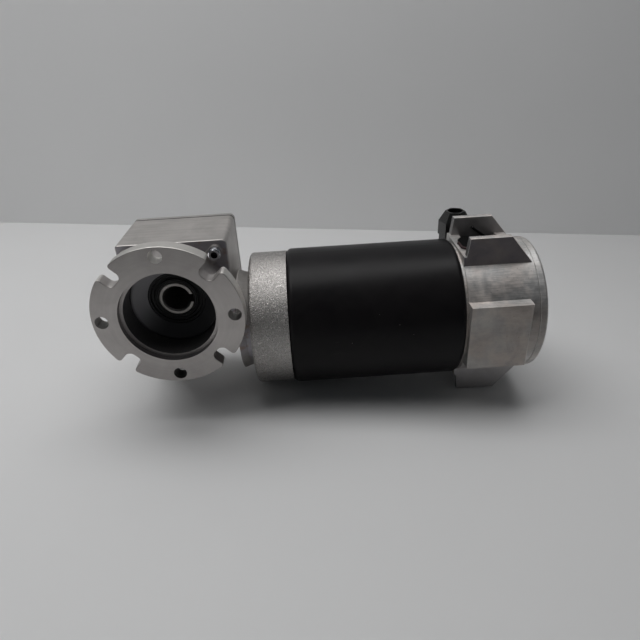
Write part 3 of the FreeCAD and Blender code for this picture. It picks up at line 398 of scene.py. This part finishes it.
def flange_metal():
    """The flange: faint turned rings, stains, a rim painted brighter as a painted highlight, painted shade
    on the wall of the pilot step and towards the face's top and bottom, and black paint in its bore. Its
    four holes are threaded, and their walls are painted darker the lower the hole, as painted shade."""
    metallic = 0.93
    s = Shader("flange_metal", Metallic=metallic)
    reach = s.radius(Y)
    marks = s.line_noise(reach, 2600)
    bands = s.line_noise(reach, 420, 2)
    cloud = s.noise(52, 5, 0.62, distortion=0.4)
    grain = s.noise(2200, 3, 0.6)
    tone = s.ramp(cloud, (0.3, (0.43, 0.405, 0.395)), (0.7, (0.52, 0.495, 0.48)))
    tone = s.blend("MULTIPLY", 0.08, tone, s.ramp(bands, (0.35, 0.6), (0.65, 1.0)))
    # The wall of the pilot step is painted darker, a painted shade in the recess.
    step = s.both(s.above(reach, CUP_R + 0.0004), s.below(reach, PILOT_R + 0.0001))
    wall = s.both(s.both(step, s.below(s.along(Y), PILOT_DEPTH + 0.0002)), s.below(s.facing(Y), 0.5, 0.1))
    tone = s.blend("MULTIPLY", wall, tone, (0.45, 0.45, 0.47))
    # The rim is painted brighter, a painted highlight.
    rim = s.both(s.above(reach, FLANGE_R - RIM_BEVEL), s.below(s.facing(Y), 0.75, 0.15))
    tone = s.blend("MIX", rim, tone, (0.7, 0.68, 0.65))
    across = s.mirrored(X)
    upright = s.mirrored(Z)
    # On the flange the face is painted darker towards its top and bottom, a painted shade.
    wear_and_shade = s.ramp(s.math("MULTIPLY", upright, 1 / FLANGE_R), (0.4, 1.0), (0.85, 0.8))
    tone = s.blend("MULTIPLY", 1.0, tone, wear_and_shade)
    off_centre = s.math("SUBTRACT", s.math("MAXIMUM", across, upright), HOLE_PCD_R)
    hole = s.below(s.reach_of(off_centre, s.math("MINIMUM", across, upright)), HOLE_R + 0.0001, 0.0001)
    # The hole walls are painted darker the lower the hole, a painted shade.
    hole_painted_shade = s.ramp(s.share(Z), (0.1, 0.07), (0.45, 0.36), (0.9, 1.0))
    inside = s.both(hole, s.below(s.facing(Y), 0.5, 0.1))
    tone = s.blend("MIX", inside, tone, s.blend("MULTIPLY", 1.0, (0.8, 0.78, 0.75), hole_painted_shade))
    ridge = s.math("SINE", s.math("MULTIPLY", s.along(Y), 2 * pi / THREAD_PITCH))
    cup = s.both(s.below(reach, CUP_R), s.above(s.along(Y), PILOT_DEPTH + 0.0004))
    s.feed("Base Color", s.blend("MIX", cup, tone, DARK_CUP))
    s.feed("Metallic", s.math("SUBTRACT", metallic, s.math("MULTIPLY", cup, metallic)))
    rough = s.ramp(marks, (0.3, 0.36), (0.7, 0.5))
    s.feed("Roughness", s.blend("MIX", cup, rough, (0.42, 0.42, 0.42)))
    s.set_bump((cloud, 0.05, 0.001), (grain, 0.18, 0.0001), (marks, 0.1, 0.0001),
               (s.both(hole, ridge), 0.9, 0.0005))
    return s.material


def zinc_screw():
    """Bright zinc on a socket screw, with the corner screws' sockets painted dark inside, a painted shade.
    """
    s = Shader("zinc", Metallic=1.0)
    speck = s.noise(900, 3, 0.55)
    tone = s.ramp(s.noise(80, 3), (0.3, (0.52, 0.54, 0.58)), (0.7, (0.74, 0.76, 0.8)))
    # The sockets are painted dark inside, a painted shade in the hole.
    across = s.math("SUBTRACT", s.mirrored(X), SCREW_AT)
    upright = s.math("SUBTRACT", s.mirrored(Z), SCREW_AT)
    well = s.below(s.reach_of(across, upright), SOCKET_R, 0.0001)
    socket = s.both(well, s.below(s.along(Y), SOCKET_END_Y))
    s.feed("Base Color", s.blend("MIX", socket, tone, (0.03, 0.03, 0.034)))
    s.feed("Roughness", s.ramp(speck, (0.3, 0.14), (0.7, 0.26)))
    s.set_bump((speck, 0.1, 0.00004))
    return s.material


def shaft_steel():
    """Ground steel of the motor shaft and worm, with fine rings about the motor's axis."""
    s = Shader("shaft_steel", Metallic=0.95)
    marks = s.line_noise(s.radius(X, (0, MOTOR_Y, MOTOR_Z)), 5200)
    cloud = s.noise(60, 3, 0.55)
    s.feed("Base Color", s.ramp(cloud, (0.3, (0.45, 0.44, 0.43)), (0.7, (0.52, 0.51, 0.5))))
    s.feed("Roughness", s.ramp(marks, (0.3, 0.3), (0.7, 0.42)))
    s.set_bump((cloud, 0.04, 0.001), (marks, 0.12, 0.00012))
    return s.material


def lamination():
    """Stacked steel sheets: fine rings across the shaft, with a brushed gloss."""
    s = Shader("lamination", Metallic=0.95)
    marks = s.noise(1.0, 4, 0.6, s.stretch((2600, 30, 30)))
    cloud = s.noise(45, 3, 0.55)
    tone = s.ramp(cloud, (0.3, (0.22, 0.22, 0.23)), (0.7, (0.3, 0.3, 0.31)))
    s.feed("Base Color", s.blend("MULTIPLY", 0.2, tone, s.ramp(marks, (0.3, 0.75), (0.7, 1.0))))
    s.feed("Roughness", s.ramp(marks, (0.3, 0.34), (0.7, 0.5)))
    s.set_bump((marks, 0.1, 0.0001))
    return s.material


def enamel():
    """Satin black stoving enamel with faint orange peel, patches of haze, fine scuffs and a few specks."""
    s = Shader("black_enamel", Metallic=0.0)
    s.surface.inputs["Specular IOR Level"].default_value = 0.13
    peel = s.noise(1100, 2, 0.5)
    haze = s.noise(24, 6, 0.65, distortion=0.7)
    scuff = s.ramp(s.noise(1.0, 4, 0.7, s.stretch((70, 500, 500))), (0.66, 0.0), (0.74, 1.0))
    wear_and_shade = s.both(scuff, s.ramp(s.noise(14, 2), (0.56, 0.0), (0.66, 1.0)))
    specks = s.ramp(s.cells(75), (0.012, 1.0), (0.02, 0.0))
    tone = s.ramp(haze, (0.35, (0.0065, 0.006, 0.0068)), (0.7, (0.0115, 0.0102, 0.0108)))
    tone = s.blend("MIX", s.math("MULTIPLY", wear_and_shade, 0.14), tone, (0.09, 0.085, 0.08))
    s.feed("Base Color", s.blend("MIX", s.math("MULTIPLY", specks, 0.7), tone, (0.4, 0.39, 0.37)))
    s.feed("Roughness", s.ramp(haze, (0.3, 0.3), (0.7, 0.42)))
    s.set_bump((peel, 0.1, 0.0002))
    return s.material


def rubber():
    """Matt black rubber."""
    s = Shader("seal_rubber")
    s.surface.inputs["Specular IOR Level"].default_value = 0.3
    grain = s.noise(1800, 3, 0.6)
    s.feed("Base Color", s.ramp(s.noise(120, 3), (0.3, 0.0064), (0.7, 0.012)))
    s.feed("Roughness", s.ramp(grain, (0.3, 0.5), (0.7, 0.7)))
    s.set_bump((grain, 0.12, 0.0001))
    return s.material


def shaft_seal():
    """The front seal: black rubber with moulded rings about the output axis."""
    s = Shader("shaft_seal")
    s.surface.inputs["Specular IOR Level"].default_value = 0.45
    reach = s.radius(Y)
    ribs = s.math("SINE", s.math("MULTIPLY", reach, 2 * pi / RIB_PITCH))
    grain = s.noise(1800, 3, 0.6)
    s.feed("Base Color", s.ramp(s.noise(120, 3), (0.3, 0.006), (0.7, 0.012)))
    s.feed("Roughness", s.ramp(grain, (0.3, 0.36), (0.7, 0.52)))
    s.set_bump((ribs, 0.7, 0.0005), (grain, 0.12, 0.0001))
    return s.material


def moulded(name, grey, rough, specular):
    """Black moulded plastic with a fine grain."""
    s = Shader(name)
    s.surface.inputs["Specular IOR Level"].default_value = specular
    grain = s.noise(2600, 2, 0.5)
    s.feed("Base Color", s.ramp(s.noise(90, 3), (0.3, grey * 0.75), (0.7, grey * 1.3)))
    s.feed("Roughness", s.ramp(grain, (0.3, rough - 0.06), (0.7, rough + 0.06)))
    s.set_bump((grain, 0.12, 0.0001))
    return s.material


def plain_grain(name, colour, metallic, rough, grain=700, depth=0.0001):
    """A plain finish with a fine grain, for small parts."""
    s = Shader(name, Metallic=metallic)
    speck = s.noise(grain, 3, 0.55)
    lighter = tuple(min(1.0, c * 1.25) for c in colour)
    darker = tuple(c * 0.8 for c in colour)
    s.feed("Base Color", s.ramp(s.noise(80, 3), (0.3, darker), (0.7, lighter)))
    s.feed("Roughness", s.ramp(speck, (0.3, max(0.05, rough - 0.07)), (0.7, rough + 0.07)))
    s.set_bump((speck, 0.1, depth))
    return s.material


def bore_steel():
    """The output shaft: a turned end face painted darker, a painted shade deep in the cup, and a lighter
    bore behind it.
    """
    s = Shader("output_shaft_steel", Metallic=0.95)
    reach = s.radius(Y)
    marks = s.line_noise(reach, 5200)
    inside = s.both(s.below(reach, BORE_R), s.above(s.along(Y), BORE_START_Y, 0.0006))
    cloud = s.noise(70, 4, 0.6)
    tone = s.ramp(cloud, (0.3, (0.22, 0.21, 0.2)), (0.7, (0.3, 0.285, 0.27)))
    # The end face is painted darker than the bore, a painted shade.
    s.feed("Base Color", s.blend("MIX", inside, tone, (0.5, 0.46, 0.45)))
    s.feed("Roughness", s.ramp(marks, (0.3, 0.3), (0.7, 0.44)))
    s.set_bump((cloud, 0.04, 0.001), (marks, 0.12, 0.00012))
    return s.material


def make_materials():
    return {
        "bell_cast": sand_cast(),
        "rear_cast": die_cast(),
        "box_metal": box_metal(),
        "flange_metal": flange_metal(),
        "black_enamel": enamel(),
        "seal_rubber": rubber(),
        "shaft_seal": shaft_seal(),
        "black_nylon": moulded("black_nylon", 0.008, 0.3, 0.5),
        "phenolic": moulded("phenolic", 0.0025, 0.75, 0.08),
        "zinc": zinc_screw(),
        "output_steel": bore_steel(),
        "shaft_steel": shaft_steel(),
        "plain_steel": plain_grain("plain_steel", (0.42, 0.42, 0.42), 1.0, 0.35),
        "bearing_steel": plain_grain("bearing_steel", (0.6, 0.6, 0.6), 1.0, 0.16, 400, 0.00001),
        "bronze": plain_grain("wheel_bronze", (0.6, 0.38, 0.16), 1.0, 0.33),
        "lamination": lamination(),
        "copper": plain_grain("copper_wire", (0.68, 0.28, 0.12), 1.0, 0.3, 1600, 0.0002),
        "ferrite": plain_grain("ferrite", (0.035, 0.035, 0.04), 0.2, 0.6),
        "gasket": plain_grain("gasket_paper", (0.05, 0.052, 0.048), 0.0, 0.85, 1500),
        "carbon": plain_grain("carbon_brush", (0.02, 0.02, 0.022), 0.1, 0.55),
        "spring": plain_grain("spring_steel", (0.5, 0.5, 0.5), 1.0, 0.22),
        "black_lead": plain_grain("black_lead", (0.003, 0.003, 0.0035), 0.0, 0.45),
        "red_lead": plain_grain("red_lead", (0.016, 0.001, 0.001), 0.0, 0.7),
    }


RECORD_TO_LOOK = {
    "cast_aluminium": "rear_cast", "machined_aluminium": "flange_metal", "black_enamel": "black_enamel",
    "zinc_plated_steel": "zinc", "ground_steel": "shaft_steel", "plain_steel": "plain_steel",
    "bearing_steel": "bearing_steel", "wheel_bronze": "bronze", "lamination_steel": "lamination",
    "copper_wire": "copper", "ferrite": "ferrite", "seal_rubber": "seal_rubber", "gasket_paper": "gasket",
    "black_nylon": "black_nylon", "carbon_brush": "carbon", "spring_steel": "spring",
    "black_lead": "black_lead", "red_lead": "red_lead",
}
NODE_LOOKS = {
    "motor_front_bell": "bell_cast", "gearbox_housing": "box_metal", "rear_cover": "box_metal",
    "hollow_output_shaft": "output_steel", "brush_cap_top": "phenolic", "brush_cap_bottom": "phenolic",
    "output_seal_front": "shaft_seal", "brush_holder_top": "phenolic", "brush_holder_bottom": "phenolic",
}


def paint_nodes(looks):
    slots = {part["node"]: part["material_slot"] for part in frame["record"]["subparts"]}
    for name, node in nodes.items():
        look = NODE_LOOKS.get(name) or RECORD_TO_LOOK[slots[name]]
        node.data.materials.clear()
        node.data.materials.append(looks[look])


# ---- brush springs -------------------------------------------------------------------------------
SPRING_WIRE_R = 0.00045
SPRING_ACTIVE_TURNS = 5
STEPS_PER_TURN = 32


def spring_line(low, high):
    """Points along a compression spring with one closed turn at each end, inside a box."""
    reach = (high.x - low.x) / 2 - SPRING_WIRE_R
    height = high.z - low.z - 2 * SPRING_WIRE_R
    closed = 2 * SPRING_WIRE_R
    turns = SPRING_ACTIVE_TURNS + 2
    middle_x = (low.x + high.x) / 2
    middle_y = (low.y + high.y) / 2
    points = []
    for step in range(turns * STEPS_PER_TURN + 1):
        turn = step / STEPS_PER_TURN
        climb = closed + (height - 2 * closed) * (turn - 1) / SPRING_ACTIVE_TURNS
        floor = closed * min(turn, 1)
        ceiling = height - closed * min(turns - turn, 1)
        z = low.z + SPRING_WIRE_R + min(max(climb, floor), ceiling)
        angle = 2 * pi * turn
        points.append((middle_x + reach * cos(angle), middle_y + reach * sin(angle), z))
    return points


def wire_mesh(name, points):
    line = bpy.data.curves.new(name, "CURVE")
    line.dimensions = "3D"
    line.bevel_depth = SPRING_WIRE_R
    line.bevel_resolution = 3
    line.use_fill_caps = True
    spline = line.splines.new("POLY")
    spline.points.add(len(points) - 1)
    for knot, place in zip(spline.points, points):
        knot.co = (*place, 1)
    mesh = bpy.data.meshes.new_from_object(bpy.data.objects.new(name + "_line", line))
    mesh.shade_smooth()
    return mesh


def make_brush_spring(end, look):
    """The spring behind a brush: a coil in the spring's box, fixed to the housing."""
    low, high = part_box("brush_spring_" + end)
    mesh = wire_mesh("spring_coil_" + end, spring_line(low, high))
    mesh.materials.clear()
    mesh.materials.append(look)
    coil = bpy.data.objects.new("spring_coil_" + end, mesh)
    scene.collection.objects.link(coil)
    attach(coil, "housing")
    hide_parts("brush_spring_" + end)
    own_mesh(coil)


# ---- stage: floor, wall and light ----------------------------------------------------------------
# REST_FRONT_X is where the front bell's edge touches the floor, and REST_BACK_X the lower lugs.
REST_FRONT_X = 0.050
REST_BACK_X = 0.2082
STAGE_REACH = 3.0
WALL_Y = 0.415
WALL_TOP = 1.2
FLOOR_GREY = 0.68
WALL_GREY = 0.93
SKY = (0.9, 0.95, 1.0, 1)
SKY_STRENGTH = 0.06
LIGHT_PLACE = (-0.01, 0.25, 1.0)
LIGHT_AIM = (0.08, 0.06, 0)
LIGHT_SIZE = (1.4, 0.8)
LIGHT_WATTS = 12.3


def pale(name, grey):
    """Matt paint of the floor and the wall, with a faint cloud."""
    s = Shader(name)
    s.surface.inputs["Specular IOR Level"].default_value = 0.25
    cloud = s.noise(3, 3)
    s.feed("Base Color", s.ramp(cloud, (0.3, grey * 0.97), (0.7, grey)))
    s.surface.inputs["Roughness"].default_value = 0.6
    return s.material


def plane(name, corners, material):
    mesh = bpy.data.meshes.new(name)
    mesh.from_pydata(corners, [], [(0, 1, 2, 3)])
    made = bpy.data.objects.new(name, mesh)
    mesh.materials.append(material)
    scene.collection.objects.link(made)


def floor_z(x):
    """The motor lies on its front bell's edge and its lower lugs, so the floor is tilted in its frame."""
    slope = (LUG_BOTTOM - BELL_BOTTOM) / (REST_BACK_X - REST_FRONT_X)
    return BELL_BOTTOM + slope * (x - REST_FRONT_X)


def make_stage():
    far = STAGE_REACH
    left_z = floor_z(-far)
    right_z = floor_z(far)
    floor = [(-far, -far, left_z), (far, -far, right_z), (far, far, right_z), (-far, far, left_z)]
    plane("floor", floor, pale("floor_paint", FLOOR_GREY))
    wall_foot = [(-far, WALL_Y, left_z), (far, WALL_Y, right_z)]
    wall_head = [(far, WALL_Y, WALL_TOP), (-far, WALL_Y, WALL_TOP)]
    plane("wall", wall_foot + wall_head, pale("wall_paint", WALL_GREY))


def make_light():
    """One soft light overhead, and a faint sky."""
    world = bpy.data.worlds.new("studio")
    world.use_nodes = True
    sky = world.node_tree.nodes["Background"]
    sky.inputs["Color"].default_value = SKY
    sky.inputs["Strength"].default_value = SKY_STRENGTH
    scene.world = world
    data = bpy.data.lights.new("overhead", "AREA")
    data.shape = "RECTANGLE"
    data.size, data.size_y = LIGHT_SIZE
    data.energy = LIGHT_WATTS
    overhead = bpy.data.objects.new("overhead", data)
    overhead.location = LIGHT_PLACE
    aim = Vector(LIGHT_AIM) - Vector(LIGHT_PLACE)
    overhead.rotation_euler = aim.to_track_quat("-Z", "Y").to_euler()
    scene.collection.objects.link(overhead)
    scene.view_settings.view_transform = "Standard"


make_camera()
materials = make_materials()
paint_nodes(materials)
make_brush_spring("top", materials["spring"])
make_brush_spring("bottom", materials["spring"])
make_stage()
make_light()
